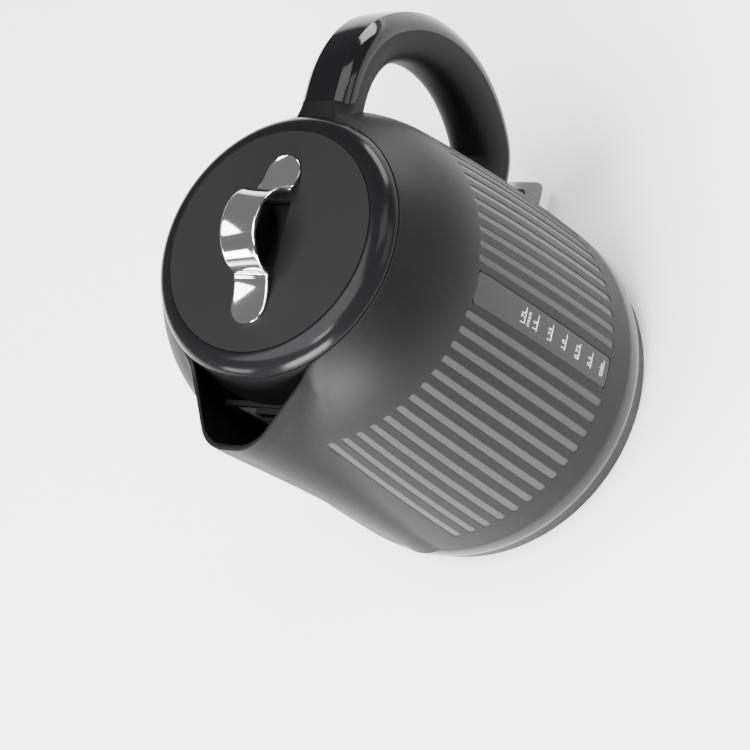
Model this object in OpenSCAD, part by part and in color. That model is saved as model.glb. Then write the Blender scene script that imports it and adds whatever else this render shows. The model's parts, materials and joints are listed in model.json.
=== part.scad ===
// Cordless electric kettle, 1.7 L, in millimetres.
// Frame: +Z up, origin at the centre of the resting rim, spout towards -X, handle towards +X,
// water window towards -Y.

/* [Jug] */
// Outer radius of the jug where it meets the base ring
jug_r = 88.4; // [84:0.1:110]
// Height of the jug's neck, where the lid begins
neck_z = 190; // [185:1:240]
// How far the jug wall leans in between the base ring and the shoulder
taper_in = 9.4; // [6:0.1:14]
// How far the shoulder turns in from the wall to the neck
shoulder_in = 17.8; // [14:0.1:22]
// Height of the rounded shoulder
shoulder_h = 38; // [30:1:46]
// Thickness of the jug wall
wall = 2.5; // [2:0.1:3]

/* [Water window] */
// Width of the water window
window_w = 14.8; // [10:0.1:20]
// Length of the water window
window_h = 109; // [80:1:114]
// Height of the window's lower end
window_z = 41.7; // [40:0.1:50]

/* [Spout] */
// How far the tip of the spout stands out beyond the jug
spout_out = 3.4; // [2:0.1:12]
// Half the width of the spout's front edge
spout_half_w = 19; // [15:0.5:21]
// How far the spout's rim lies under the neck
spout_drop = 2.5; // [1:0.5:5]
// Height where the spout grows out of the wall
spout_root_z = 46; // [42:1:70]

/* [Handle] */
// Width of the handle
handle_w = 27; // [24:0.5:32]
// Depth of the handle where it leaves the neck
handle_d = 23.2; // [22:0.1:25]
// How much deeper the handle is at its lower end
handle_swell = 4.2; // [3:0.1:5]
// Depth of the glossy outer cover
cover_d = 9; // [8:0.5:10]
// Wall thickness of the handle's mouldings
handle_wall = 2; // [1.5:0.1:2.5]
// Height of the handle's underside at its lower end
handle_low_z = 41.2; // [40:0.1:43]

/* [Lid] */
// Width of the lid's bevelled ring
bevel_w = 9.6; // [8:0.1:12]
// Height of the lid above the neck
lid_h = 8.1; // [6:0.1:10]
// Outer radius of the lid's arch
arch_r = 19.8; // [17:0.1:22]
// Width of the lid's arch
arch_w = 18; // [14:0.5:20]
// Thickness of the lid's arch
arch_t = 1.5; // [1:0.1:2]
// Depth of the finger recess under the arch
recess_h = 13; // [8:0.5:14]

/* [Base] */
// Height of the black base cover
cover_h = 12.6; // [11:0.1:13]
// Height of the seam between the base ring and the jug
seam_z = 25.2; // [25:0.1:28]
// Bore of the cordless socket
socket_r = 13.5; // [12:0.1:15]
// Depth of the cordless socket
socket_h = 12; // [10:0.5:13]

/* [Switch] */
// Width of the switch lever
lever_w = 33; // [26:0.5:36]
// How far the switch lever stands out of the base ring
lever_reach = 17; // [12:0.5:20]
// Thickness of the switch lever
lever_t = 7.6; // [6:0.1:8]
// Radius of the switch lever's pivot pin
pin_r = 1.6; // [1.2:0.1:2]

/* [Hidden] */

$fn = 96;
tiny = 0.01;      // what a cut runs past a face
fit = 0.05;       // clearance round a fitted piece
gap = 0.3;        // clearance between pieces that move apart
shoulder_r = jug_r - taper_in;
shoulder_z = neck_z - shoulder_h;
spout_reach = jug_r + spout_out;
lip_r = spout_half_w - 3.5;
neck_r = shoulder_r - shoulder_in;

// the ring inside the neck that crosses the spout's mouth and holds the lid
band_h = 11.8;
band_in_r = neck_r - 2.6;
band_z = neck_z - band_h;
collar_t = 2.4;
collar_lip = 1.4;     // the collar's flange under the band
apron_h = 10;         // how far the spout's apron hangs under the band
apron_out = 3.4;

// the plastic floor ledge that the steel element plate hangs from
ledge_r = 66.5;
ledge_z = 34.5;
ledge_t = 2.5;
skirt_r = jug_r - wall;
skirt_t = 2.2;
skirt_z = 14;
seal_t = 1.6;
seal_w = 3.3;
plate_t = 1.2;
plate_lap = 4;
clamp_t = 3.2;
clamp_out = 9.5;
clamp_screw_r = 1.2;
diffuser_t = 2.5;
diffuser_r = 58;
element_r = 45;
element_w = 9;
element_h = 6.8;
element_gap = 50;   // angle left open between the element's two ends
seal_z = ledge_z - seal_t;
plate_z = seal_z - plate_t;
clamp_z = plate_z - clamp_t;
diffuser_z = plate_z - diffuser_t;
element_z = diffuser_z - element_h;

// the handle's outer line: a straight, four tangent arcs and a straight back to the jug
handle_top_z = neck_z - 1.7;
handle_k = (handle_top_z - handle_low_z) / 147.1;
handle_x = jug_r - 9.4;
cover_x = neck_r + 9.5;
root_x = jug_r + 4.6;
ARC_R = [56.4, 92, 82.8, 32.6] * handle_k;
ARC_A = [53.1, 40.5, 42.4, 44];
ARC_END = [for (i = [0:3]) sum_to(ARC_A, i)];

// the steam passage: inside the handle, then down through a boss in the jug
steam_r = 3.4;
steam_bore = 4;
steam_in = 9.4;     // its depth under the handle's outer line
steam_x = 79 + jug_r - 88.4;
steam_boss_r = 6.6;
steam_low_z = handle_low_z + steam_in;
steam_top_z = handle_top_z - steam_in;

// the filter behind the spout
filter_w = 49;
filter_t = 2.4;
filter_h = 45;
filter_x = -(neck_r + 4.6);
filter_z = band_z - apron_h - 0.6 - filter_h;
cheek_t = 2;
mesh_pitch = 3;

// the lid
lid_z = neck_z + gap;
lid_r = neck_r - 0.1;
lid_top = neck_z + lid_h;
disc_r = lid_r - bevel_w - 0.25;
disc_t = 2;
plug_r = band_in_r - collar_t - 1.9;
plug_t = 2;
plug_z = band_z + 0.4;
flange_z = lid_top - 3.8;
tab_end = disc_r - 12.2;
tab_x = tab_end - arch_w / 2;
arch_x = 1.7;
arch_z = lid_top + 2.3;
stud_r = 2;
recess_x = [-12.7, 18.8];
recess_half_w = 7.5;
recess_wall = 1.5;
recess_r = 22.3;
post_at = 47.5 + neck_r - 61.2;
post_r = 3.4;
screw_r = 1.5;
seal_out_r = band_in_r - collar_t - gap;

// the base, the control and the switch
notch_half_w = lever_w / 2 + 1;
notch_z = [7.6, 22.4];
control_r = 30;
control_z = 6;
control_top = diffuser_z - 3;
socket_out_r = socket_r + 2.8;
socket_z = 1.5;
socket_top = socket_z + socket_h;
pivot_x = jug_r - 12.4;
pivot_z = 16.4;
lever_z = pivot_z - 4;
lever_end = jug_r + lever_reach;
hub_r = 4.2;
hub_half_w = 17;
ear_t = 2.5;
arm_half_w = 7;
arm_end = pivot_x - 15;
arm_t = 3;
plunger_x = pivot_x - 16;
plunger_r = 1.5;
plunger_gap = 0.5;
bridge_t = 1.6;
trim_t = 0.8;
lens_x = [95.5, 101.5] + [jug_r - 88.4, jug_r - 88.4];
lens_half_w = 7;
boss_at = skirt_r - skirt_t - 3.6;
BOSS_ANGLES = [90, 210, 330];
CLAMP_ANGLES = [for (i = [0:5]) 30 + 60 * i];
SCREW_ANGLES = [60, 180, 300];
control_screw_at = 24;
lead_r = 1.1;
terminal_at = element_gap / 2 - 4;
blade_w = 3.2;
blade_off = 3;        // a terminal's blade lies this far beside its pin
lead_z = element_z - 5.6;
earth_at = control_r + 6;
earth_z = control_z + 6;

function sum_to(v, n) = n < 0 ? 0 : v[n] + sum_to(v, n - 1);
function bezier(a, b, c, t) = (1 - t) * (1 - t) * a + 2 * t * (1 - t) * b + t * t * c;
function bezier_way(a, b, c, t) = (1 - t) * (b - a) + t * (c - b);
function unit(v) = v / norm(v);
function smooth(t) = t <= 0 ? 0 : t >= 1 ? 1 : t * t * (3 - 2 * t);

// a point of the jug's outline, moved inwards square to the wall
function inset_point(a, b, c, t, inset) =
    let (w = unit(bezier_way(a, b, c, t))) bezier(a, b, c, t) - inset * [w[1], -w[0]];

WALL_A = [jug_r, seam_z];
WALL_B = [jug_r - 1.8, seam_z + 0.52 * (shoulder_z - seam_z)];
WALL_C = [shoulder_r, shoulder_z];
NECK_B = [shoulder_r - 2.5, shoulder_z + 0.54 * shoulder_h];
NECK_C = [neck_r, neck_z];

function jug_outline(inset) = concat(
    [for (i = [0:8]) inset_point(WALL_A, WALL_B, WALL_C, i / 8, inset)],
    [for (i = [1:10]) inset_point(WALL_C, NECK_B, NECK_C, i / 10, inset)]);

// the jug's outer shape as a solid of revolution, shrunk by inset, standing on z = low
module jug_mass(inset, low, open_top = false) {
    line = jug_outline(inset);
    last = line[len(line) - 1];
    top = open_top ? neck_z + 1 : last[1];
    rotate_extrude()
        polygon(concat([[0, low], [line[0][0], low]], line, [[last[0], top + tiny], [0, top + tiny]]));
}

module ring(r_out, r_in, z, h) {
    translate([0, 0, z])
        difference() {
            cylinder(r = r_out, h = h);
            translate([0, 0, -1]) cylinder(r = r_in, h = h + 2);
        }
}

// a slab through the jug wall on the window side, with rounded corners
module window_prism(grow) {
    w = window_w + 2 * grow;
    h = window_h + 2 * grow;
    corner = 2 + grow;
    translate([0, -60, window_z - grow + h / 2])
        rotate([90, 0, 0])
            linear_extrude(60)
                union() {
                    square([w - 2 * corner, h], center = true);
                    square([w, h - 2 * corner], center = true);
                    for (sx = [-1, 1], sy = [-1, 1])
                        translate([sx * (w / 2 - corner), sy * (h / 2 - corner)]) circle(corner);
                }
}

// the beak: a broad blunt lip at the top that runs down into the wall
module spout_mass(inset, rise) {
    rim = neck_z - spout_drop + rise;
    thick = 6 + rise;
    hull() {
        for (s = [-1, 1]) {
            translate([-(spout_reach - lip_r), s * (spout_half_w - lip_r), rim - thick])
                cylinder(r = lip_r - inset, h = thick, $fn = 48);
            translate([-(neck_r - 2), s * 25, rim - thick])
                cylinder(r = 4.6 - inset, h = thick, $fn = 24);
        }
        translate([-(jug_r - 9), 0, spout_root_z]) sphere(r = 8.6 - inset, $fn = 32);
    }
}

// the matte neck that carries the handle, and the pad at the handle's lower end
module handle_roots() {
    hull() {
        translate([neck_r - 2, 0, handle_top_z - 14]) cube([2, 46, 24], center = true);
        handle_slab(cover_x - 1, 1, 0, handle_d);
    }
    hull() {
        translate([neck_r + 4, 0, handle_top_z - 18]) cube([2, 40, 10], center = true);
        handle_slab(handle_x - 2, 1, cover_d, handle_d);
    }
    hull() {
        translate([jug_r - 5, 0, handle_low_z + 14]) cube([2, 36, 34], center = true);
        translate([root_x - 1, 0, handle_low_z + (handle_d + handle_swell) / 2])
            cube([2, handle_w, handle_d + handle_swell], center = true);
    }
}

// a slice of the handle's section near the neck, between two depths, of thickness t
module handle_slab(x, t, from, to) {
    r = 6;
    z1 = handle_top_z - from;
    z0 = handle_top_z - to;
    for (s = [-1, 1])
        translate([x, s * (handle_w / 2 - r), 0]) {
            translate([0, 0, from == 0 ? z1 - r : z1 - 1])
                rotate([0, 90, 0]) cylinder(r = from == 0 ? r : 1, h = t, $fn = 32);
            translate([0, 0, z0 + r]) rotate([0, 90, 0]) cylinder(r = r, h = t, $fn = 32);
        }
}

// the moulded shell in section: wall, neck band, floor ledge and the skirt inside the base ring
module jug_shell() {
    inner = [for (p = jug_outline(wall)) if (p[0] > neck_r + 0.3) p];
    n = len(inner);
    rotate_extrude()
        polygon(concat(jug_outline(0),
            [[band_in_r, neck_z], [band_in_r, band_z], [neck_r, band_z], [neck_r, inner[n - 1][1] + 0.3]],
            [for (i = [n - 1:-1:1]) inner[i]],
            [[skirt_r - 0.2, ledge_z + ledge_t], [ledge_r, ledge_z + ledge_t], [ledge_r, ledge_z],
             [skirt_r - skirt_t, ledge_z], [skirt_r - skirt_t, skirt_z], [skirt_r, skirt_z],
             [skirt_r, seam_z]]));
}

module jug_body() {
    color([0.09, 0.09, 0.095])
        difference() {
            union() {
                difference() {
                    union() {
                        jug_shell();
                        difference() {
                            union() {
                                spout_mass(0, 0);
                                handle_roots();
                            }
                            jug_mass(wall / 2, 10, true);
                        }
                    }
                    difference() {
                        spout_mass(wall, 8);
                        translate([0, 0, band_z]) cylinder(r = neck_r, h = 40);
                    }
                    window_prism(fit);
                }
                // boss that carries the steam passage down through the floor
                intersection() {
                    translate([steam_x, 0, ledge_z + 0.5])
                        cylinder(r = steam_boss_r, h = steam_low_z + 6.5 - ledge_z);
                    jug_mass(0.5, 10);
                }
                filter_housing();
                for (a = BOSS_ANGLES)
                    rotate(a) translate([boss_at, 0, cover_h - 4])
                        cylinder(r = 3.2, h = ledge_z - cover_h + 5);
            }
            steam_drill();
            // way out for the switch lever
            translate([jug_r - 12, -notch_half_w, 0]) cube([20, 2 * notch_half_w, notch_z[1]]);
            for (a = BOSS_ANGLES)
                rotate(a) translate([boss_at, 0, 0]) cylinder(r = screw_r, h = ledge_z - 3);
            for (a = CLAMP_ANGLES)
                rotate(a) translate([plate_r + 2.5, 0, 0]) cylinder(r = clamp_screw_r, h = ledge_z + 1.5);
        }
}
plate_r = ledge_r + plate_lap;

// two cheeks and a shelf inside the wall that the filter stands against, and the apron over it
module filter_housing() {
    cheek_x = filter_x - gap;
    intersection() {
        union() {
            spout_apron();
            for (s = [-1, 1])
                translate([cheek_x - 8, s * (filter_w / 2 + cheek_t / 2) - cheek_t / 2, filter_z - 2])
                    cube([8, cheek_t, band_z + 0.1 - filter_z + 2]);
            translate([cheek_x - 20, -filter_w / 2 - cheek_t, filter_z - 2 - cheek_t])
                cube([20, filter_w + 2 * cheek_t, cheek_t]);
        }
        union() {
            jug_mass(0.6, 10);
            spout_mass(0.6, 0);
        }
    }
}

// leaning skirt under the band, across the spout's mouth
module spout_apron() {
    low = band_z - apron_h;
    intersection() {
        rotate_extrude()
            polygon([[neck_r - 0.5, band_z + 7], [neck_r - 1, band_z + 1],
                [neck_r + apron_out - 2.2, low], [neck_r + apron_out, low]]);
        translate([-neck_r - 10, -30, 0]) cube([20, 60, neck_z]);
    }
}

module steam_drill() {
    translate([neck_r - 20, 0, steam_top_z])
        rotate([0, 90, 0]) cylinder(r = steam_bore, h = 60);
    translate([steam_x, 0, 0]) cylinder(r = steam_bore, h = steam_low_z);
    translate([steam_x, 0, steam_low_z]) sphere(steam_bore);
    translate([steam_x, 0, steam_low_z])
        rotate([0, 90, 0]) cylinder(r = steam_bore, h = 40);
}

module water_window() {
    color([0.32, 0.33, 0.34])
        union() {
            intersection() {
                difference() {
                    jug_mass(0.15, 10);
                    jug_mass(wall + 0.4, 9);
                }
                window_prism(0);
            }
            intersection() {
                difference() {
                    jug_mass(wall, 10);
                    jug_mass(wall + 1.4, 9);
                }
                window_prism(2.5);
            }
        }
}

module rim_collar() {
    color([0.07, 0.07, 0.075])
        difference() {
            union() {
                ring(band_in_r - fit, band_in_r - collar_t, band_z - collar_lip, band_h + collar_lip);
                ring(band_in_r + 1.2, band_in_r - collar_t, band_z - collar_lip, collar_lip);
            }
            translate([neck_r - 20, 0, steam_top_z])
                rotate([0, 90, 0]) cylinder(r = steam_bore, h = 60);
        }
}

module steam_grille() {
    color([0.1, 0.1, 0.1])
        translate([band_in_r + 0.4, 0, steam_top_z])
            rotate([0, 90, 0])
                difference() {
                    cylinder(r = steam_bore - fit, h = 1.2);
                    for (a = [0:60:300])
                        rotate(a) translate([2.2, 0, -1]) cylinder(r = 0.7, h = 4);
                }
}

// where the handle's outer line ends, from the sum of its arcs
function handle_end_x() = handle_x + sum_to([for (i = [0:3])
    ARC_R[i] * (sin(ARC_END[i]) - sin(ARC_END[i] - ARC_A[i]))], 3);
// a point of the handle's outer line after turning by a degrees, and how deep the handle is there
function arc_of(a) = a < ARC_END[0] ? 0 : a < ARC_END[1] ? 1 : a < ARC_END[2] ? 2 : 3;
function line_point(a) =
    let (k = arc_of(a),
         before = [for (i = [0:3]) i < k ? ARC_R[i] * [sin(ARC_END[i]) - sin(ARC_END[i] - ARC_A[i]),
             cos(ARC_END[i]) - cos(ARC_END[i] - ARC_A[i])] : [0, 0]],
         from = ARC_END[k] - ARC_A[k])
    [handle_x, handle_top_z] + before[0] + before[1] + before[2] + before[3]
        + ARC_R[k] * [sin(a) - sin(from), cos(a) - cos(from)];
function depth_at(a) = handle_d + handle_swell * smooth((a - 45) / 80);

HANDLE_STOPS = [for (a = [0:5:180]) a];

// a shell swept from section to section: each section lists m + 1 points over its outside and
// then m + 1 back over its inside, and strips between the two close both ends
module swept_shell(rings, m, flip = false) {
    n = 2 * m + 2;
    count = len(rings);
    e = (count - 1) * n;
    points = [for (r = rings) each r];
    side_faces = [for (k = [0:count - 2], i = [0:n - 1])
        let (j = (i + 1) % n, a = k * n, b = (k + 1) * n)
        each [[a + i, a + j, b + j], [a + i, b + j, b + i]]];
    first_cap = [for (i = [0:m - 1]) each [[i, n - 1 - i, n - 2 - i], [i, n - 2 - i, i + 1]]];
    last_cap = [for (i = [0:m - 1]) each
        [[e + i, e + n - 2 - i, e + n - 1 - i], [e + i, e + i + 1, e + n - 2 - i]]];
    faces = concat(side_faces, first_cap, last_cap);
    polyhedron(points, flip ? [for (f = faces) [f[0], f[2], f[1]]] : faces, convexity = 6);
}

// half an oval of exponent n in the section, rising from the depth called base
function half_oval(half_w, base, rise, n, m) =
    [for (i = [0:m]) let (t = 180 * i / m, c = cos(t), s = sin(t))
        [half_w * sign(c) * pow(abs(c), 2 / n), base - rise * pow(abs(s), 2 / n)]];

// puts a section point [across, depth] on the handle, where its line has turned by a degrees
function place(p, a, shift) =
    let (o = line_point(a), d = p[1])
    [o[0] + shift - d * sin(a), p[0], o[1] - d * cos(a)];

// a C-shaped shell along the whole handle, with its open side at the depth called base
module handle_shell(start_x, base, rise_sign, power) {
    m = 20;
    stops = concat([[0, start_x - handle_x]], [for (a = HANDLE_STOPS) [a, 0]],
        [[180, root_x - handle_end_x()]]);
    rings = [for (st = stops)
        let (a = st[0],
             rise = rise_sign > 0 ? base : base - depth_at(a),
             outer = half_oval(handle_w / 2, base, rise, power, m),
             inner = half_oval(handle_w / 2 - handle_wall, base, rise - rise_sign * handle_wall, power, m))
        [for (p = outer) place(p, a, st[1]), for (i = [m:-1:0]) place(inner[i], a, st[1])]];
    swept_shell(rings, m, rise_sign > 0);
}

// silicone hose inside the handle: centre line as [x, z, turn] stops, then a full round section
function hose_stops() = concat(
    [[neck_r + 3, steam_top_z, 0]],
    [for (a = [0:7.5:180]) let (p = place([0, steam_in], a, 0)) [p[0], p[2], a]],
    [for (a = [0:22.5:90]) [steam_x + steam_bore * (1 - sin(a)), steam_low_z - steam_bore * (1 - cos(a)),
        180 - a]],
    [[steam_x, clamp_z - 2, 90]]);

module steam_tube() {
    m = 14;
    rings = [for (st = hose_stops())
        [for (r = [steam_r, steam_r - 0.9], i = [0:m])
            let (t = 360 * (r == steam_r ? i : m - i) / m)
            [st[0] + r * cos(t) * sin(st[2]), r * sin(t), st[1] + r * cos(t) * cos(st[2])]]];
    color([0.75, 0.74, 0.7]) hose(rings, m);
}

// a round hollow hose through rings of m outer and m inner points
module hose(rings, m) {
    outer = [for (r = rings) [for (i = [0:m - 1]) r[i]]];
    inner = [for (r = rings) [for (i = [0:m - 1]) r[m + 1 + i]]];
    count = len(rings);
    n = 2 * m;
    points = [for (k = [0:count - 1]) each concat(outer[k], inner[k])];
    e = (count - 1) * n;
    walls = [for (k = [0:count - 2], i = [0:m - 1])
        let (j = (i + 1) % m, a = k * n, b = a + n, ii = m + i, jj = m + (i + 1) % m)
        each [[a + i, b + j, a + j], [a + i, b + i, b + j],
              [a + ii, b + jj, a + jj], [a + ii, b + ii, b + jj]]];
    ends = [for (i = [0:m - 1])
        let (j = (i + 1) % m, ii = m + (m - i) % m, jj = m + (m - j) % m)
        each [[i, j, jj], [i, jj, ii], [e + i, e + jj, e + j], [e + i, e + ii, e + jj]]];
    polyhedron(points, concat(walls, ends), convexity = 6);
}

module handle_cover() {
    color([0.04, 0.04, 0.045]) handle_shell(cover_x, cover_d, 1, 2.6);
}

module handle_grip() {
    color([0.08, 0.08, 0.085]) handle_shell(handle_x - 1, cover_d + 0.1, -1, 2.6);
}

module base_ring() {
    color([0.03, 0.03, 0.035])
        difference() {
            rotate_extrude()
                polygon([[skirt_r + 0.1, cover_h], [jug_r - 0.5, cover_h], [jug_r - 0.1, cover_h + 3],
                    [jug_r, cover_h + 6], [jug_r, seam_z - 0.8], [jug_r - 0.4, seam_z - 0.15],
                    [skirt_r + 0.1, seam_z - 0.15]]);
            translate([jug_r - 12, -notch_half_w, 0]) cube([20, 2 * notch_half_w, notch_z[1]]);
        }
}

module base_cover() {
    lip_out = skirt_r - skirt_t - 0.2;
    color([0.1, 0.1, 0.1])
        difference() {
            union() {
                rotate_extrude()
                    polygon([[jug_r - 6.6, 0], [jug_r - 4.1, 0], [jug_r - 3.7, 0.5],
                        [jug_r - 0.8, cover_h - 0.2], [jug_r - 3.3, cover_h - 0.2], [jug_r - 5.6, 4.4],
                        [socket_out_r + 0.3, 4.4], [socket_out_r + 0.3, 2.2], [jug_r - 6.6, 2.2]]);
                for (s = [-1, 1])
                    translate([pivot_x - 4.5, s * (hub_half_w + 0.5 + ear_t / 2) - ear_t / 2, 4])
                        cube([9, ear_t, pivot_z + 0.5]);
                for (a = BOSS_ANGLES)
                    rotate(a) translate([boss_at, 0, 4]) cylinder(r = 3.2, h = cover_h - 8);
            }
            translate([0, hub_half_w + 5, pivot_z]) rotate([90, 0, 0])
                translate([pivot_x, 0, 0]) cylinder(r = pin_r, h = 2 * hub_half_w + 10);
            translate([jug_r - 9, -notch_half_w, notch_z[0]]) cube([20, 2 * notch_half_w, 40]);
            for (a = BOSS_ANGLES)
                rotate(a) translate([boss_at, 0, -1]) {
                    cylinder(r = screw_r + 0.1, h = 20);
                    cylinder(r = 2.9, h = 4.4);
                }
        }
}

module screw(length, head_r, head_h, shank_r) {
    difference() {
        union() {
            cylinder(r = head_r, h = head_h);
            cylinder(r = shank_r, h = length);
        }
        for (a = [0, 90])
            rotate(a) translate([-head_r * 0.65, -0.35, -tiny]) cube([head_r * 1.3, 0.7, head_h * 0.6]);
    }
}

module base_screws() {
    color([0.6, 0.6, 0.62])
        for (a = BOSS_ANGLES)
            rotate(a) translate([boss_at, 0, 3.4 - 1.6]) screw(22, 2.7, 1.6, screw_r);
}

module element_plate() {
    color([0.75, 0.75, 0.76])
        translate([0, 0, plate_z]) cylinder(r = plate_r, h = plate_t);
}

module element_seal() {
    color([0.6, 0.6, 0.58]) ring(plate_r, plate_r - seal_w, seal_z, seal_t);
}

module clamp_ring() {
    color([0.7, 0.7, 0.68])
        difference() {
            union() {
                ring(ledge_r + clamp_out, plate_r - 3, clamp_z, clamp_t);
                ring(ledge_r + clamp_out, plate_r + 0.2, clamp_z, ledge_z - clamp_z);
            }
            translate([steam_x, 0, 0]) cylinder(r = steam_bore + 0.6, h = 60);
            for (a = CLAMP_ANGLES)
                rotate(a) translate([plate_r + 2.5, 0, 0]) cylinder(r = clamp_screw_r, h = 60);
        }
}

module clamp_screws() {
    color([0.6, 0.6, 0.62])
        for (a = CLAMP_ANGLES)
            rotate(a) translate([plate_r + 2.5, 0, clamp_z - 1.4])
                screw(ledge_z + 2.7 - clamp_z, 2.2, 1.4, clamp_screw_r);
}

module heat_diffuser() {
    color([0.8, 0.8, 0.8])
        difference() {
            translate([0, 0, diffuser_z]) cylinder(r = diffuser_r, h = diffuser_t);
            for (a = SCREW_ANGLES)
                rotate(a) translate([control_screw_at, 0, 0]) cylinder(r = screw_r, h = diffuser_z + 1.6);
        }
}

module heating_element() {
    half = element_w / 2;
    color([0.55, 0.56, 0.58])
        rotate(180 + element_gap / 2)
            rotate_extrude(angle = 360 - element_gap)
                polygon([[element_r - half, element_z + element_h], [element_r + half, element_z + element_h],
                    [element_r + half - 1.5, element_z + 1], [element_r + half - 3, element_z],
                    [element_r - half + 3, element_z], [element_r - half + 1.5, element_z + 1]]);
}

module element_terminals() {
    color([0.75, 0.7, 0.5])
        for (s = [-1, 1])
            rotate(180 + s * terminal_at)
                translate([element_r, 0, element_z + element_h - 3.4]) {
                    rotate([s * 90, 0, 0]) translate([0, 0, -3]) cylinder(r = 1.6, h = 7.8);
                    translate([-blade_w / 2, -0.4 - s * blade_off, -10.4]) cube([blade_w, 0.8, 10.6]);
                }
}

module control_housing() {
    color([0.85, 0.83, 0.78])
        difference() {
            union() {
                translate([0, 0, control_z]) cylinder(r = control_r, h = control_top - control_z);
                translate([control_r - 8, -11, control_z]) cube([plunger_x + 5 - control_r + 8, 22, 4.6]);
                translate([plunger_x - 5, -11, control_z]) cube([10, 22, 4.6]);
                // the bridge that guides the plunger, over the lever's tip
                translate([control_r - 8, -6, pivot_z + 4])
                    cube([plunger_x + 5 - control_r + 8, 12, bridge_t]);
            }
            translate([0, 0, control_z - 1]) cylinder(r = socket_out_r, h = 12.5);
            translate([plunger_x, 0, pivot_z]) cylinder(r = plunger_r + fit, h = 20);
            for (a = SCREW_ANGLES)
                rotate(a) translate([control_screw_at, 0, 0]) {
                    cylinder(r = screw_r, h = 60);
                    cylinder(r = 3, h = control_z + 3);
                }
            for (s = [-1, 1]) element_lead(s, fit);
            earth_wire(fit);
        }
}

module control_screws() {
    color([0.6, 0.6, 0.62])
        for (a = SCREW_ANGLES)
            rotate(a) translate([control_screw_at, 0, control_z + 1.4])
                screw(diffuser_z + 1.5 - control_z - 1.4, 2.8, 1.6, screw_r);
}

module bimetal_discs() {
    color([0.8, 0.65, 0.35])
        for (s = [-1, 1])
            translate([0, s * 14, control_top]) {
                cylinder(r = 9.5, h = 0.8);
                translate([0, 0, 0.8 - tiny]) cylinder(r = 3, h = diffuser_z - control_top - 0.8 + tiny);
            }
}

module coupler_socket() {
    color([0.82, 0.82, 0.8])
        difference() {
            translate([0, 0, socket_z]) cylinder(r = socket_out_r, h = 16);
            translate([0, 0, socket_z - 1]) cylinder(r = socket_r, h = socket_h + 1);
            for (r = CONTACT_R)
                translate([0, 0, socket_top - 1]) ring(r + 0.9, r - 0.9, 0, 3);
            translate([0, 0, socket_top - 1]) cylinder(r = 1.9, h = 3);
        }
}
CONTACT_R = [5.2, 9.4];

// two ring contacts and the centre contact, flush with the roof of the socket
module coupler_contacts() {
    color([0.8, 0.6, 0.3])
        union() {
            for (r = CONTACT_R)
                ring(r + 0.9, r - 0.9, socket_top, 2);
            translate([0, 0, socket_top]) cylinder(r = 1.9, h = 2);
        }
}

module live_lead() { color([0.5, 0.2, 0.1]) element_lead(1, 0); }
module neutral_lead() { color([0.1, 0.2, 0.6]) element_lead(-1, 0); }
module earth_lead() { color([0.3, 0.6, 0.2]) earth_wire(0); }

// from the control's side out to the blade of an element terminal
module element_lead(s, grow) {
    rotate(180 + s * terminal_at)
        translate([control_r - 2, -s * blade_off, lead_z])
            rotate([0, 90, 0]) cylinder(r = lead_r + grow, h = element_r - blade_w / 2 - control_r + 2);
}

// out of the control between the element's two ends, then up to the diffuser
module earth_wire(grow) {
    translate([-earth_at, 0, earth_z]) {
        rotate([0, 90, 0]) cylinder(r = lead_r + grow, h = earth_at - control_r + 2);
        sphere(lead_r + grow);
        cylinder(r = lead_r + grow, h = diffuser_z - earth_z);
    }
}

module switch_pivot_pin() {
    color([0.7, 0.7, 0.72])
        translate([pivot_x, hub_half_w + 0.5 + ear_t, pivot_z])
            rotate([90, 0, 0]) cylinder(r = pin_r, h = 2 * (hub_half_w + 0.5 + ear_t));
}

// bent leaf that gives the lever its two click positions
module detent_spring() {
    color([0.75, 0.75, 0.77])
        translate([0, -3, 0]) {
            translate([pivot_x - 6, 0, 4.4]) cube([9, 6, 0.6]);
            translate([pivot_x - 6, 0, 4.4]) cube([0.6, 6, 3.4]);
            translate([pivot_x - 6, 0, 7.2]) cube([6.5, 6, 0.6]);
        }
}

module switch_lever() {
    color([0.12, 0.12, 0.125])
        difference() {
            union() {
                lever_plan(lever_end - 1, lever_w / 2 - trim_t - 0.1, 4.2, lever_z, lever_t - trim_t);
                translate([arm_end, -arm_half_w, pivot_z - plunger_gap - arm_t + 0.5])
                    cube([pivot_x - arm_end + 8, 2 * arm_half_w, arm_t]);
                translate([pivot_x, hub_half_w, pivot_z])
                    rotate([90, 0, 0]) cylinder(r = hub_r, h = 2 * hub_half_w);
            }
            translate([pivot_x, hub_half_w + 1, pivot_z])
                rotate([90, 0, 0]) cylinder(r = pin_r + fit, h = 2 * hub_half_w + 2);
            lens_slot(0, lever_z + lever_t - 2.6, 3);
        }
}

// the paddle seen from above: straight sides with two round outer corners
module lever_plan(end, half_w, corner, z, h) {
    translate([0, 0, z])
        linear_extrude(h)
            union() {
                translate([pivot_x + 2, -half_w]) square([end - corner - pivot_x - 2, 2 * half_w]);
                translate([end - corner - 1, -half_w + corner]) square([corner + 1, 2 * (half_w - corner)]);
                for (s = [-1, 1])
                    translate([end - corner, s * (half_w - corner)]) circle(corner);
            }
}

module lens_slot(shrink, z, h) {
    half = (lens_x[1] - lens_x[0]) / 2 - shrink;
    translate([(lens_x[0] + lens_x[1]) / 2, 0, z])
        linear_extrude(h)
            union() {
                square([2 * half, 2 * (lens_half_w - half)], center = true);
                for (s = [-1, 1]) translate([0, s * (lens_half_w - half)]) circle(half);
            }
}

module switch_trim() {
    color([0.8, 0.8, 0.82])
        difference() {
            lever_plan(lever_end, lever_w / 2, 5, lever_z - 0.1, lever_t + 0.1);
            lever_plan(lever_end - 1, lever_w / 2 - trim_t - 0.1, 4.2, lever_z - 1, lever_t - trim_t + 1);
            translate([0, -40, 0]) cube([jug_r + 0.6, 80, 60]);
            lens_slot(0, 0, 60);
        }
}

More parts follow.
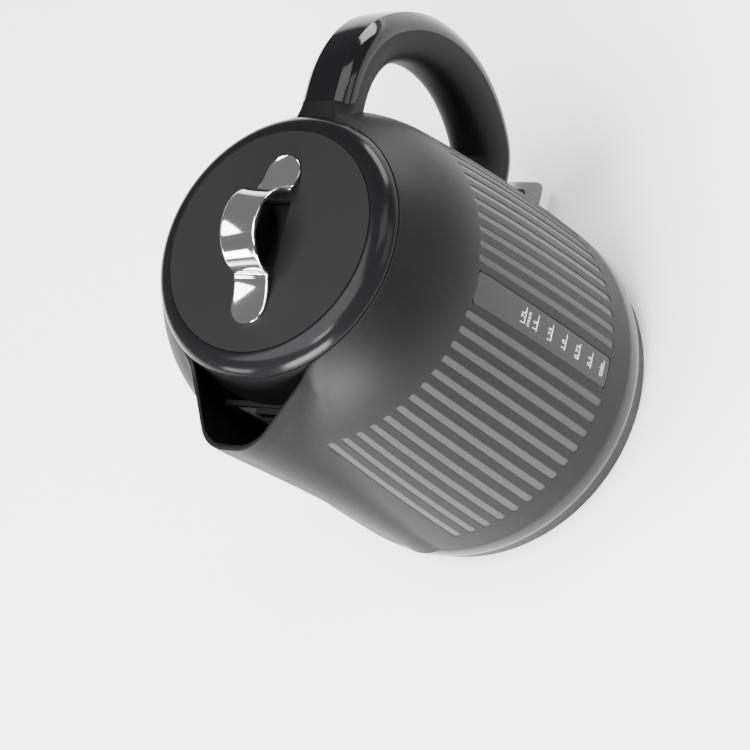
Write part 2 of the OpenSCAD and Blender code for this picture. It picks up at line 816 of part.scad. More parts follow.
module switch_lens() {
    color([0.15, 0.15, 0.16]) lens_slot(0.1, lever_z + lever_t - 2.6, 2.3);
}

module contact_plunger() {
    color([0.85, 0.85, 0.8])
        translate([plunger_x, 0, 0]) {
            translate([0, 0, pivot_z + 0.5]) cylinder(r = plunger_r, h = 9);
            translate([0, 0, pivot_z + 8.3]) cylinder(r = 2.6, h = 1.2);
        }
}

module lid_ring() {
    outer = [for (i = [0:10]) bezier([lid_r, lid_z + 0.5], [lid_r - 2.6, lid_top - 1],
        [lid_r - bevel_w + 0.2, lid_top], i / 10)];
    color([0.03, 0.03, 0.035])
        difference() {
            union() {
                rotate_extrude()
                    polygon(concat([[lid_r - 2.6, lid_z], [lid_r, lid_z]], outer,
                        [[disc_r + 0.2, lid_top - 0.2], [disc_r + 0.2, lid_top - disc_t],
                         [disc_r - 5, lid_top - disc_t], [disc_r - 5, flange_z], [plug_r + 1, flange_z]]));
                for (a = POST_ANGLES)
                    rotate(a) translate([post_at, 0, plug_z + plug_t + 1])
                        cylinder(r = post_r, h = flange_z - plug_z - plug_t - 0.5);
            }
            for (a = POST_ANGLES)
                rotate(a) translate([post_at, 0, plug_z]) cylinder(r = screw_r, h = 11);
        }
}
POST_ANGLES = [60, 180, 300];

module recess_space(grow, depth) {
    intersection() {
        translate([recess_x[0] - grow, -recess_half_w - grow, lid_top - depth - grow])
            cube([recess_x[1] - recess_x[0] + 2 * grow, 2 * (recess_half_w + grow), depth + grow + 1]);
        translate([(recess_x[0] + recess_x[1]) / 2, 0, lid_top - depth + recess_r])
            rotate([90, 0, 0]) cylinder(r = recess_r + grow, h = 60, center = true);
    }
}

module lid_disc() {
    color([0.11, 0.11, 0.115])
        difference() {
            union() {
                translate([0, 0, lid_top - disc_t]) cylinder(r = disc_r, h = disc_t);
                intersection() {
                    recess_space(recess_wall, recess_h);
                    translate([0, 0, plug_z + plug_t]) cylinder(r = disc_r, h = lid_top - plug_z - plug_t);
                }
            }
            recess_space(0, recess_h);
            for (s = [-1, 1])
                translate([s * tab_x, 0, plug_z]) cylinder(r = stud_r + fit, h = 60);
        }
}

module lid_arch() {
    color([0.85, 0.85, 0.87])
        union() {
            translate([arch_x, 0, arch_z])
                rotate([90, 0, 0])
                    linear_extrude(arch_w, center = true)
                        difference() {
                            circle(arch_r);
                            circle(arch_r - arch_t);
                            translate([-40, -60 - 2]) square([80, 60 + tiny]);
                        }
            for (s = [-1, 1]) {
                translate([s * tab_x, 0, lid_top]) cylinder(r = arch_w / 2, h = arch_t);
                translate([s > 0 ? foot_x + arch_x : -tab_x, -arch_w / 2, lid_top])
                    cube([tab_x - foot_x - s * arch_x, arch_w, arch_t]);
                translate([s * tab_x, 0, lid_top - disc_t - 1.5]) cylinder(r = stud_r, h = disc_t + 2);
            }
        }
}
foot_x = sqrt(arch_r * arch_r - 4) - arch_t * 0.7;

module arch_nuts() {
    color([0.6, 0.6, 0.62])
        for (s = [-1, 1])
            translate([s * tab_x, 0, 0]) ring(3.8, stud_r, lid_top - disc_t - 1.2, 1.2);
}

module lid_plug() {
    color([0.08, 0.08, 0.085])
        difference() {
            translate([0, 0, plug_z]) cylinder(r = plug_r, h = flange_z - plug_z);
            translate([0, 0, plug_z + plug_t]) cylinder(r = plug_r - plug_t, h = 40);
            for (a = POST_ANGLES)
                rotate(a) translate([post_at, 0, plug_z - 1]) {
                    cylinder(r = screw_r, h = 10);
                    cylinder(r = 2.8, h = 2);
                }
        }
    color([0.08, 0.08, 0.085])
        difference() {
            for (a = POST_ANGLES)
                rotate(a) translate([post_at, 0, plug_z + plug_t - 0.5]) cylinder(r = post_r, h = 1.5);
            for (a = POST_ANGLES)
                rotate(a) translate([post_at, 0, plug_z - 1]) cylinder(r = screw_r, h = 10);
        }
}

module lid_seal() {
    color([0.55, 0.55, 0.53]) ring(seal_out_r, plug_r, plug_z + 4, 3);
}

module lid_screws() {
    color([0.6, 0.6, 0.62])
        for (a = POST_ANGLES)
            rotate(a) translate([post_at, 0, plug_z]) screw(10, 2.6, 1, screw_r);
}

module filter_frame() {
    bar = 2.6;
    color([0.1, 0.1, 0.1])
        union() {
            translate([filter_x, 0, filter_z])
                rotate([90, 0, 90])
                    linear_extrude(filter_t)
                        difference() {
                            translate([-filter_w / 2, 0]) square([filter_w, filter_h]);
                            translate([-filter_w / 2 + bar, bar])
                                square([filter_w - 2 * bar, filter_h - 2 * bar]);
                        }
            // finger tab under the neck band
            translate([filter_x - 2.6, -7.5, filter_z + filter_h - 7]) cube([3, 15, 6]);
        }
}

// woven screen, drawn as a plate with a grid of square holes
module filter_mesh() {
    bar = 2.6;
    w = filter_w - 2 * bar;
    h = filter_h - 2 * bar;
    nx = floor((w - 1) / mesh_pitch);
    nz = floor((h - 1) / mesh_pitch);
    hole = mesh_pitch - 0.9;
    grid = [for (i = [0:nx - 1], j = [0:nz - 1])
        [(i - (nx - 1) / 2) * mesh_pitch, h / 2 + (j - (nz - 1) / 2) * mesh_pitch]];
    outline = [[-w / 2, 0], [w / 2, 0], [w / 2, h], [-w / 2, h]];
    holes = [for (c = grid) each [c + [-hole, -hole] / 2, c + [-hole, hole] / 2,
        c + [hole, hole] / 2, c + [hole, -hole] / 2]];
    paths = concat([[0, 1, 2, 3]], [for (k = [0:len(grid) - 1]) [for (q = [0:3]) 4 + 4 * k + q]]);
    color([0.5, 0.5, 0.5])
        translate([filter_x + 0.9, 0, filter_z + bar])
            rotate([90, 0, 90])
                linear_extrude(0.5) polygon(concat(outline, holes), paths);
}

jug_body();
water_window();
rim_collar();
steam_grille();
steam_tube();
handle_grip();
handle_cover();
base_ring();
base_cover();
base_screws();
element_plate();
element_seal();
clamp_ring();
clamp_screws();
heat_diffuser();
heating_element();
element_terminals();
control_housing();
control_screws();
bimetal_discs();
coupler_socket();
coupler_contacts();
live_lead();
neutral_lead();
earth_lead();
switch_pivot_pin();
detent_spring();
switch_lever();
switch_trim();
switch_lens();
contact_plunger();
lid_ring();
lid_disc();
lid_arch();
arch_nuts();
lid_plug();
lid_seal();
lid_screws();
filter_frame();
filter_mesh();
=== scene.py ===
# %% [markdown]
# # A cordless jug kettle
# The working parts come from the CAD model and stay where they are. This file gives the kettle
# its looks: smooth skins for what the eye sees first, a finish for every part, and a quiet studio.
# Lengths below are in millimetres and become metres when a mesh is written.

# %% Load the frame
import json
import math
import bpy
import numpy as np
from mathutils import Matrix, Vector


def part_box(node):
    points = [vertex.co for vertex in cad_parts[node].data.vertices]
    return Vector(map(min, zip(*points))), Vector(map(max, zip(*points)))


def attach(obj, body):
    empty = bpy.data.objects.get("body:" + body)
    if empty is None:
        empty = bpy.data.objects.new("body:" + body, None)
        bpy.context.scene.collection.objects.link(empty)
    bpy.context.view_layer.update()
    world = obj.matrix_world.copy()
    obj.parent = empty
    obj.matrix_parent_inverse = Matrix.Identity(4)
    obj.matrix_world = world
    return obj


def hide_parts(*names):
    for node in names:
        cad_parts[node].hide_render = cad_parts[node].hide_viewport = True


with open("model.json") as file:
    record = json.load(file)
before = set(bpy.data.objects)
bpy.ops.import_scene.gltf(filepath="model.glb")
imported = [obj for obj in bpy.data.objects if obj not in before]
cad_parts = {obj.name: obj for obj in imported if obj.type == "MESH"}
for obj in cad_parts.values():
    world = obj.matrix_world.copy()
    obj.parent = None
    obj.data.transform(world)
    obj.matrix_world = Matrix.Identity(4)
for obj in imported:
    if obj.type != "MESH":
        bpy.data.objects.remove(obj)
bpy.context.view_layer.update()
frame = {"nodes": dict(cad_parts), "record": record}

SCENE = bpy.context.scene
MM = 0.001
print("CAD nodes:", len(frame["nodes"]))

# %% [markdown]
# ## The camera
# It looks down at the lid and across the jug's window side, and it is rolled, so that the kettle
# lies across the picture as if it were pouring. A long lens keeps the ellipses calm.

# %% Camera
CAMERA_AT = (-0.2897, -0.5979, 0.9246)
CAMERA_AXES = ((0.23259, 0.93975, -0.25052), (-0.82193, 0.05223, -0.56718), (-0.51993, 0.33784, 0.78456))
lens = bpy.data.cameras.new("studio_camera")
lens.lens = 109.82
lens.sensor_width = 36.0
lens.clip_end = 50.0
camera = bpy.data.objects.new("studio_camera", lens)
camera.matrix_world = Matrix.Translation(CAMERA_AT) @ Matrix(CAMERA_AXES).to_4x4()
SCENE.collection.objects.link(camera)
SCENE.camera = camera
print("camera", lens.lens, "mm")

# %% [markdown]
# ## Sizes read from the CAD
# Every skin is laid over its CAD parts, so its sizes are taken from their boxes.

# %% Sizes
def span(node):
    """Lowest and highest corner of a CAD node in millimetres."""
    low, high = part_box(node)
    return np.array(low) / MM, np.array(high) / MM


ring_low, ring_high = span("base_ring")
cover_low, cover_high = span("handle_cover")
jug_low, jug_high = span("jug_body")
collar_low, collar_high = span("rim_collar")
lid_high = span("lid_ring")[1]
arch_low, arch_high = span("lid_arch")
JUG_R = ring_high[1]
SEAM_Z = ring_high[2] + 0.15
NECK_Z = jug_high[2]
BAND_R = collar_high[1] - 1.2
NECK_R = BAND_R + 2.6
WALL = 2.5
SHOULDER_Z = NECK_Z - 38.0
SHOULDER_R = NECK_R + 17.8
print("jug radius", round(JUG_R, 2), "neck radius", round(NECK_R, 2), "height", round(NECK_Z, 2))

# %% [markdown]
# ## Turning arrays into meshes
# Each skin is a grid of points: rows along one parameter, columns along the other. One helper
# writes the grid as four-sided faces, joins its ends where the shape closes, and turns all faces
# outwards by the sign of the enclosed volume.

# %% Grid helper
def grid_faces(rows, cols, close_rows, close_cols):
    """Corner numbers of the quads of a rows x cols grid, wrapped round where asked."""
    r = np.arange(rows if close_rows else rows - 1)
    c = np.arange(cols if close_cols else cols - 1)
    rr, cc = np.meshgrid(r, c, indexing="ij")
    r2, c2 = (rr + 1) % rows, (cc + 1) % cols
    quads = np.stack([rr * cols + cc, rr * cols + c2, r2 * cols + c2, r2 * cols + cc], -1)
    return quads.reshape(-1, 4)


def enclosed(points, faces):
    """Signed volume under the faces, as the sum of the tetrahedra to the origin."""
    a, b, c, d = (points[faces[:, k]] for k in range(4))
    return np.einsum("ij,ij->i", a, np.cross(b, c)).sum() + np.einsum("ij,ij->i", a, np.cross(c, d)).sum()


def skin(name, grid, close_rows=True, close_cols=True, caps=False, sharp=32.0, body="jug",
         stands_for=()):
    """A mesh piece from a (rows, cols, 3) grid in millimetres, shaded smooth up to the angle sharp."""
    rows, cols, _ = grid.shape
    points = grid.reshape(-1, 3) * MM
    faces = grid_faces(rows, cols, close_rows, close_cols)
    flip = enclosed(points - points.mean(0), faces) < 0
    listed = (faces[:, ::-1] if flip else faces).tolist()
    if caps:
        first, last = list(range(cols)), list(range((rows - 1) * cols, rows * cols))
        listed += [last if not flip else last[::-1], first[::-1] if not flip else first]
    mesh = bpy.data.meshes.new(name)
    mesh.from_pydata(points.tolist(), [], listed)
    mesh.validate()
    mesh.shade_smooth()
    mesh.set_sharp_from_angle(angle=math.radians(sharp))
    piece = bpy.data.objects.new(name, mesh)
    SCENE.collection.objects.link(piece)
    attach(piece, body)
    if stands_for:
        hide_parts(*stands_for)
    print(name, len(points), "points", "turned outwards" if flip else "")
    return piece


def bezier(a, b, c, t):
    """Quadratic curve: (1-t)^2 a + 2t(1-t) b + t^2 c."""
    a, b, c = (np.asarray(p, float) for p in (a, b, c))
    t = np.asarray(t, float)[:, None]
    return (1 - t) ** 2 * a + 2 * t * (1 - t) * b + t ** 2 * c


def smooth(t):
    """3t^2 - 2t^3, held at 0 and 1 outside the range."""
    t = np.clip(t, 0, 1)
    return t * t * (3 - 2 * t)


def turned(profile, columns):
    """A closed (radius, height) profile carried round the Z axis."""
    profile = np.asarray(profile, float)
    angle = np.linspace(0, 2 * math.pi, columns, endpoint=False)
    r, z = profile[:, :1], profile[:, 1:]
    return np.stack([r * np.cos(angle), r * np.sin(angle), z + 0 * angle], -1)

# %% [markdown]
# ## Finishes
# Moulded plastic is never one flat value. Each finish mixes two close tones by a fine noise,
# varies its roughness the same way and adds a little grain as bump. Object coordinates keep the
# pattern still on the part.

# %% Finish helper
def finish(name, tone, other, rough, grain=900.0, bump=0.05, metallic=0.0, coat=0.0, rough_end=None,
           specular=0.5, streak=(1.0, 1.0, 1.0)):
    """Principled surface: tone and roughness drift with a cloudy noise, bump follows a fine one."""
    material = bpy.data.materials.new(name)
    material.use_nodes = True
    tree = material.node_tree
    shader = tree.nodes["Principled BSDF"]
    place = tree.nodes.new("ShaderNodeTexCoord")
    mapping = tree.nodes.new("ShaderNodeMapping")
    mapping.inputs["Scale"].default_value = streak
    clouds = tree.nodes.new("ShaderNodeTexNoise")
    fine = tree.nodes.new("ShaderNodeTexNoise")
    clouds.inputs["Scale"].default_value = 18.0
    clouds.inputs["Detail"].default_value = 4.0
    fine.inputs["Scale"].default_value = grain
    fine.inputs["Detail"].default_value = 3.0
    tree.links.new(place.outputs["Object"], mapping.inputs["Vector"])
    for noise in (clouds, fine):
        tree.links.new(mapping.outputs["Vector"], noise.inputs["Vector"])
    mix = tree.nodes.new("ShaderNodeMix")
    mix.data_type = "RGBA"
    mix.inputs["A"].default_value = (*tone, 1)
    mix.inputs["B"].default_value = (*other, 1)
    tree.links.new(clouds.outputs["Fac"], mix.inputs["Factor"])
    tree.links.new(mix.outputs["Result"], shader.inputs["Base Color"])
    spread = tree.nodes.new("ShaderNodeMapRange")
    spread.inputs["From Min"].default_value = 0.3
    spread.inputs["From Max"].default_value = 0.7
    spread.inputs["To Min"].default_value = rough
    spread.inputs["To Max"].default_value = rough_end if rough_end is not None else rough + 0.06
    tree.links.new(clouds.outputs["Fac"], spread.inputs["Value"])
    tree.links.new(spread.outputs["Result"], shader.inputs["Roughness"])
    relief = tree.nodes.new("ShaderNodeBump")
    relief.inputs["Strength"].default_value = bump
    relief.inputs["Distance"].default_value = 0.0002
    tree.links.new(fine.outputs["Fac"], relief.inputs["Height"])
    tree.links.new(relief.outputs["Normal"], shader.inputs["Normal"])
    shader.inputs["Metallic"].default_value = metallic
    shader.inputs["Coat Weight"].default_value = coat
    shader.inputs["Coat Roughness"].default_value = 0.05
    shader.inputs["IOR"].default_value = 1.5
    shader.inputs["Specular IOR Level"].default_value = specular
    shader.inputs["Transmission Weight"].default_value = 0.0
    shader.inputs["Alpha"].default_value = 1.0
    return material


def dress(piece, material):
    """Gives the whole piece one material."""
    piece.data.materials.clear()
    piece.data.materials.append(material)
    return piece

# %% Plastics, metals and rubbers
matte = finish("matte_black", (0.0028, 0.0028, 0.003), (0.004, 0.004, 0.0043), 0.46, bump=0.10, specular=0.07)
gloss = finish("gloss_black", (0.003, 0.003, 0.0035), (0.005, 0.005, 0.0055), 0.08, bump=0.0, rough_end=0.11,
               specular=0.18)
lid_gloss = finish("lid_ring_black", (0.004, 0.004, 0.0045), (0.006, 0.006, 0.0065), 0.15, bump=0.02,
                   rough_end=0.19, specular=0.07)
lid_matte = finish("lid_black", (0.005, 0.005, 0.0053), (0.0065, 0.0065, 0.007), 0.50, bump=0.08,
                   specular=0.12)
chrome = finish("chrome_metal", (0.62, 0.62, 0.63), (0.67, 0.67, 0.68), 0.07, bump=0.0, metallic=1.0,
                rough_end=0.08)
satin = finish("satin_steel", (0.80, 0.80, 0.80), (0.86, 0.86, 0.86), 0.33, bump=0.05, metallic=1.0,
               streak=(1.0, 12.0, 1.0))
steel = finish("steel", (0.55, 0.55, 0.56), (0.62, 0.62, 0.62), 0.28, bump=0.06, metallic=1.0,
               streak=(1.0, 20.0, 1.0))
aluminium = finish("aluminium", (0.62, 0.62, 0.63), (0.72, 0.72, 0.73), 0.38, bump=0.15, metallic=1.0)
brass = finish("brass_contact", (0.62, 0.46, 0.22), (0.72, 0.55, 0.28), 0.30, bump=0.05, metallic=1.0)
silicone = finish("silicone", (0.42, 0.42, 0.40), (0.48, 0.48, 0.46), 0.50, bump=0.08)
inner = finish("inner_plastic", (0.68, 0.65, 0.59), (0.75, 0.72, 0.66), 0.42, bump=0.10)
lens_grey = finish("lens_grey", (0.035, 0.035, 0.038), (0.05, 0.05, 0.055), 0.12, bump=0.0, coat=0.3)
screen = finish("mesh_steel", (0.42, 0.42, 0.43), (0.50, 0.50, 0.51), 0.42, bump=0.15, metallic=0.8)
brown = finish("wire_brown", (0.22, 0.09, 0.04), (0.27, 0.11, 0.06), 0.45)
blue = finish("wire_blue", (0.04, 0.11, 0.36), (0.06, 0.14, 0.42), 0.45)
green = finish("wire_green", (0.13, 0.34, 0.08), (0.17, 0.40, 0.12), 0.45)
print("finishes:", len(bpy.data.materials))

# %% [markdown]
# ## The jug's wall
# The wall is a turned outline: two curves, one for the leaning wall and one for the shoulder.
# The beak grows out of it on the spout side. Its outline at any height is the hull of a few round
# posts that slide from a point low on the wall to the lip. The wall and the beak are blended by a
# smooth maximum of their radii, which leaves the soft valley that a moulded jug has.

# %% Outline of the wall and the beak
def wall_outline(z):
    """Radius of the bare wall at the heights z: looked up on its two curves."""
    lower = bezier((JUG_R, SEAM_Z), (JUG_R - 1.8, SEAM_Z + 0.52 * (SHOULDER_Z - SEAM_Z)),
                   (SHOULDER_R, SHOULDER_Z), np.linspace(0, 1, 60))
    upper = bezier((SHOULDER_R, SHOULDER_Z), (SHOULDER_R - 2.5, SHOULDER_Z + 20.52), (NECK_R, NECK_Z),
                   np.linspace(0, 1, 90))
    line = np.concatenate([lower, upper[1:]])
    return np.interp(z, line[:, 1], line[:, 0])


SPOUT_REACH = -jug_low[0]
SPOUT_TOP = NECK_Z - 2.5
BEAK_ROOT_Z = 46.0
LIP_H = 6.0
POSTS = [(SPOUT_REACH - 15.5, 3.5, 15.5), (SPOUT_REACH - 15.5, -3.5, 15.5),
         (NECK_R - 2, 25.0, 4.6), (NECK_R - 2, -25.0, 4.6)]
LEAST_REACH = 40.0
BEAK_BLEND = 9.0


def beak_radius(angle, z):
    """Reach of the beak's hull in the direction angle (0 = spout) at height z.
    With posts c_k of radius r_k: the smallest of max_k(n.c_k + r_k) / (n.u) over all normals n."""
    share = np.clip((z - BEAK_ROOT_Z) / (SPOUT_TOP - LIP_H - BEAK_ROOT_Z), 0, 1)[..., None]
    turn = np.radians(np.linspace(-88, 88, 177))
    support = None
    for x, y, r in POSTS:
        px, py = (1 - share) * (JUG_R - 9) + share * x, share * y
        reach = px * np.cos(turn) + py * np.sin(turn) + (1 - share) * 8.6 + share * r
        support = reach if support is None else np.maximum(support, reach)
    support = np.maximum(support, LEAST_REACH)
    facing = np.cos(turn - angle[..., None])
    return np.where(facing > 0.05, support / np.maximum(facing, 0.05), 1e3).min(-1)


def soft_max(a, b, k):
    """The larger of a and b, rounded over a difference of k."""
    h = np.clip(0.5 + 0.5 * (a - b) / k, 0, 1)
    return b * (1 - h) + a * h + k * h * (1 - h)

# %% [markdown]
# ## The ribs
# Upright flutes run round the jug in two groups, one on each side of the window, and once round
# on the far side. Each flute is a shallow channel with round ends. The columns of the grid are
# set at the channels' edges, so that the edges stay crisp without a needlessly fine mesh.

# %% Where the flutes and the columns lie
FLUTE_PITCH = 5.206
FLUTE_HALF = 1.17
FLUTE_Z = (39.8, 151.7)
FLUTE_DEPTH = 0.45
FIRST_FLUTE, NEAR_FLUTES = 9.407, 13
FAR_SPREAD, FAR_FLUTES = 71.88, 28
WINDOW_AT, OPPOSITE = 270, 90
steps = FLUTE_PITCH * np.arange(NEAR_FLUTES)
near = np.concatenate([WINDOW_AT - FIRST_FLUTE - steps, WINDOW_AT + FIRST_FLUTE + steps])
far = OPPOSITE + np.linspace(-FAR_SPREAD, FAR_SPREAD, FAR_FLUTES)
flutes = np.sort(np.concatenate([near, far]))
rim = np.array([-1.32, -1.2, -1.06, -0.9, -0.45, 0.45, 0.9, 1.06, 1.2, 1.32])
WINDOW_HALF_W = 7.4
WINDOW_R = 86.0
WINDOW_HALF = math.degrees(WINDOW_HALF_W / WINDOW_R)
edge = np.array([WINDOW_HALF - 0.02, WINDOW_HALF + 0.10])
columns = np.concatenate([(flutes[:, None] + rim).ravel(), WINDOW_AT + edge, WINDOW_AT - edge,
                          np.arange(-34.5, 17.0, 0.75), np.arange(163.5, 196.5, 0.75),
                          OPPOSITE + np.array([-70.5, 70.5]), WINDOW_AT + np.arange(-4.5, 5, 1.5),
                          WINDOW_AT + np.array([-7, -6, 6, 7])]) % 360
columns = np.sort(columns)
columns = columns[np.concatenate([[True], np.diff(columns) > 0.05])]
rows_z = np.concatenate([
    np.linspace(SEAM_Z, 37.5, 5), np.linspace(38.2, 41.8, 13), [43.5, 46], np.linspace(50, 146, 30),
    [148, 149.2], np.linspace(149.8, 153.4, 13), np.linspace(155, 174, 12), np.linspace(175.5, 189.5, 22)])
theta = np.radians(columns)
print("flutes:", len(flutes), "columns:", len(columns), "rows:", len(rows_z))

# %% The wall's grid
away = theta % (2 * math.pi) - math.pi
Z, T = np.meshgrid(rows_z, theta, indexing="ij")
bare = wall_outline(Z)
# the window has straight sides, so its columns keep their distance in mm as the wall gets narrower
STRAIGHT_HALF = math.radians(5.2)
from_window = T - math.radians(WINDOW_AT)
T = np.where(np.abs(from_window) < STRAIGHT_HALF,
             math.radians(WINDOW_AT) + from_window * WINDOW_R / bare, T)
AWAY = np.broadcast_to(away, Z.shape)
beak_on = np.abs(AWAY) < math.radians(60)
beak = np.where(beak_on, beak_radius(np.where(beak_on, AWAY, 0.0), Z), 0.0)
R = soft_max(beak, bare, BEAK_BLEND)
lip_r = R[-1]
dip = smooth((lip_r - NECK_R) / 7.0)
DIP_FROM_Z = 150
Z_cut = Z - (NECK_Z - SPOUT_TOP) * dip * smooth((Z - DIP_FROM_Z) / (NECK_Z - DIP_FROM_Z))
print("lip reaches", round(float(lip_r.max()), 2), "mm")

# %% Flutes and window pocket as depth
def flute_depth(angle, z, r):
    """1 inside a flute, 0 outside: the distance to the channel's centre line is compared with its
    half width, with half circles at both ends."""
    gap = angle[..., None] - np.radians(flutes)
    gap = np.abs((gap + math.pi) % (2 * math.pi) - math.pi).min(-1) * r
    half = math.radians(FLUTE_HALF) * r
    past = np.maximum(np.maximum(FLUTE_Z[0] + half - z, z - FLUTE_Z[1] + half), 0)
    return smooth((half - np.hypot(gap, past)) / 0.32 + 0.5)


in_flute = flute_depth(T, Z, bare)
across = np.abs(columns - WINDOW_AT)[None, :]
POCKET_Z, POCKET_DEPTH = (41.65, 150.75), 1.3
pocket = (across < WINDOW_HALF) & (Z > POCKET_Z[0]) & (Z < POCKET_Z[1])
R_outer = R - FLUTE_DEPTH * in_flute - POCKET_DEPTH * pocket

# %% The lip and the inner wall
def ring_rows(r, z):
    """Grid rows from radii and heights given for each column."""
    return np.stack([r * np.cos(theta), r * np.sin(theta), z + 0 * theta], -1)


outer = np.stack([R_outer * np.cos(T), R_outer * np.sin(T), Z_cut], -1)
top_z = NECK_Z - (NECK_Z - SPOUT_TOP) * dip
round_over = [(0.0, -0.35), (-0.12, -0.12), (-0.4, 0.0), (-1.3, 0.03), (-2.2, 0.0), (-2.5, -0.12),
              (-2.6, -0.5)]
lip = np.stack([ring_rows(lip_r + dr, top_z + dz) for dr, dz in round_over])
LEDGE_R, LEDGE_Z = 66.5, 34.5
inner_z = np.concatenate([np.linspace(187.0, 150, 17), np.linspace(143, 37.0, 9)])
inner_r = np.stack([np.interp(z, rows_z, np.arange(len(rows_z))) + 0 * theta for z in inner_z])
row_at = np.clip(inner_r.astype(int), 0, len(rows_z) - 2)
part = inner_r - row_at
col_at = np.arange(len(theta))[None, :]
inside = R[row_at, col_at] * (1 - part) + R[row_at + 1, col_at] * part - WALL
inside_z = inner_z[:, None] - 2.0 * dip * smooth((inner_z[:, None] - DIP_FROM_Z) / 40)
inner_wall = np.stack([inside * np.cos(theta), inside * np.sin(theta), inside_z], -1)
foot = np.stack([ring_rows(r + 0 * theta, z + 0 * theta) for r, z in
                 [(JUG_R - 2.7, LEDGE_Z + 2.5), (LEDGE_R, LEDGE_Z + 2.5), (LEDGE_R, LEDGE_Z),
                  (JUG_R - 4.7, LEDGE_Z), (JUG_R - 4.7, SEAM_Z + 0.02), (JUG_R - 1.2, SEAM_Z + 0.02)]])
jug = skin("jug_skin", np.concatenate([outer, lip, inner_wall, foot]), sharp=34,
           stands_for=("jug_body",))

# %% [markdown]
# The flutes catch the light more than the wall between them. A number stored on each corner of
# the mesh says how much of a flute it is, and the finish uses it to turn from matte to satin. It
# also lightens the base colour inside the flutes: a painted sheen for the light they reflect.

# %% Finish of the wall
mark = jug.data.attributes.new("flute", "FLOAT", "POINT")
amount = np.zeros(len(jug.data.vertices), np.float32)
amount[:in_flute.size] = in_flute.ravel()
mark.data.foreach_set("value", amount)
wall_finish = finish("ribbed_wall", (0.003, 0.003, 0.0032), (0.0042, 0.0042, 0.0045), 0.44, bump=0.10,
                     specular=0.09)
tree = wall_finish.node_tree
shader = tree.nodes["Principled BSDF"]
reader = tree.nodes.new("ShaderNodeAttribute")
reader.attribute_name = "flute"
# Painted sheen: the base colour inside the flutes is made lighter to stand in for the light they reflect.
painted_sheen = tree.nodes.new("ShaderNodeMix")
painted_sheen.data_type = "RGBA"
painted_sheen.inputs["B"].default_value = (0.026, 0.026, 0.027, 1)
tree.links.new(reader.outputs["Fac"], painted_sheen.inputs["Factor"])
tree.links.new(shader.inputs["Base Color"].links[0].from_socket, painted_sheen.inputs["A"])
tree.links.new(painted_sheen.outputs["Result"], shader.inputs["Base Color"])
shinier = tree.nodes.new("ShaderNodeMix")
shinier.data_type = "FLOAT"
shinier.inputs["B"].default_value = 0.27
tree.links.new(reader.outputs["Fac"], shinier.inputs["Factor"])
tree.links.new(shader.inputs["Roughness"].links[0].from_socket, shinier.inputs["A"])
tree.links.new(shinier.outputs["Result"], shader.inputs["Roughness"])
dress(jug, wall_finish)

# %% [markdown]
# ## The neck band
# A ring crosses the spout's mouth under the lid, and leans outwards into an apron above the filter.
# It is a slice of a turned ring that ends inside the wall on both sides.

# %% Neck band
def arc_slice(profile, start, end, count):
    """A closed (radius, height) profile carried from one angle to another, in degrees."""
    profile = np.asarray(profile, float)
    angle = np.radians(np.linspace(start, end, count))[:, None]
    r, z = profile[:, 0], profile[:, 1]
    return np.stack([r * np.cos(angle), r * np.sin(angle), z + 0 * angle], -1)


BAND_Z = collar_low[2] + 1.4
APRON_Z, APRON_R = BAND_Z - 10.0, NECK_R + 3.4
band_profile = [(APRON_R - 0.5, APRON_Z), (APRON_R - 0.1, APRON_Z + 0.15), (APRON_R - 0.05, APRON_Z + 0.6),
                (NECK_R + 0.5, BAND_Z + 3.4), (NECK_R + 0.05, BAND_Z + 6.0), (NECK_R - 0.05, NECK_Z - 0.6),
                (NECK_R - 0.2, NECK_Z - 0.2), (NECK_R - 0.6, NECK_Z - 0.02), (BAND_R + 0.1, NECK_Z - 0.02),
                (BAND_R + 0.1, BAND_Z), (NECK_R - 0.8, BAND_Z), (APRON_R - 2.1, APRON_Z)]
band = skin("neck_band", arc_slice(band_profile, 180 - 38, 180 + 38, 60), close_rows=False, caps=True,
            stands_for=("jug_body",))
dress(band, matte)

# %% [markdown]
# ## The handle
# The handle's line is a straight and four arcs that meet without a kink. A section is carried
# along it. The glossy cover has a crowned back, a crease on each side and a cheek that curves down
# to the seam. The matte grip closes the section below, and it gets deeper towards the bottom.

# %% Line of the handle
HANDLE_TOP = cover_high[2]
HANDLE_HALF = cover_high[1]
COVER_X = cover_low[0]
BEND_X = COVER_X + 8.3
ROOT_X = JUG_R + 4.6
COVER_D, HANDLE_D, SWELL = 9.0, 23.2, 4.2
ARC_SHAPE = ((56.4, 53.1), (92.0, 40.5), (82.8, 42.4), (32.6, 44.0))
ARC_FALL = 147.1
ARC_SCALE = (HANDLE_TOP - cover_low[2]) / ARC_FALL
ARCS = [(r * ARC_SCALE, sweep) for r, sweep in ARC_SHAPE]


def handle_line(turn):
    """Point (x, z) where the line has turned by turn degrees: sum of R (sin b - sin a, cos b - cos a)."""
    x, z, start = BEND_X + 0 * turn, HANDLE_TOP + 0 * turn, 0.0
    for radius, sweep in ARCS:
        a, b = math.radians(start), np.radians(np.clip(turn, start, start + sweep))
        x, z = x + radius * (np.sin(b) - math.sin(a)), z + radius * (np.cos(b) - math.cos(a))
        start += sweep
    return x, z


def handle_depth(turn):
    """Depth of the whole handle where the line has turned by turn degrees."""
    return HANDLE_D + SWELL * smooth((turn - 45) / 80)


def carry(section, turn, shift=0.0):
    """Places (rows, points, 2) of (across, depth) square to the line, moved by shift along x."""
    x, z = handle_line(turn)
    s, c = np.sin(np.radians(turn))[:, None], np.cos(np.radians(turn))[:, None]
    depth = section[..., 1]
    return np.stack([x[:, None] + shift - depth * s, section[..., 0], z[:, None] - depth * c], -1)

# %% Sections of the cover and the grip
CREASE = 8.0


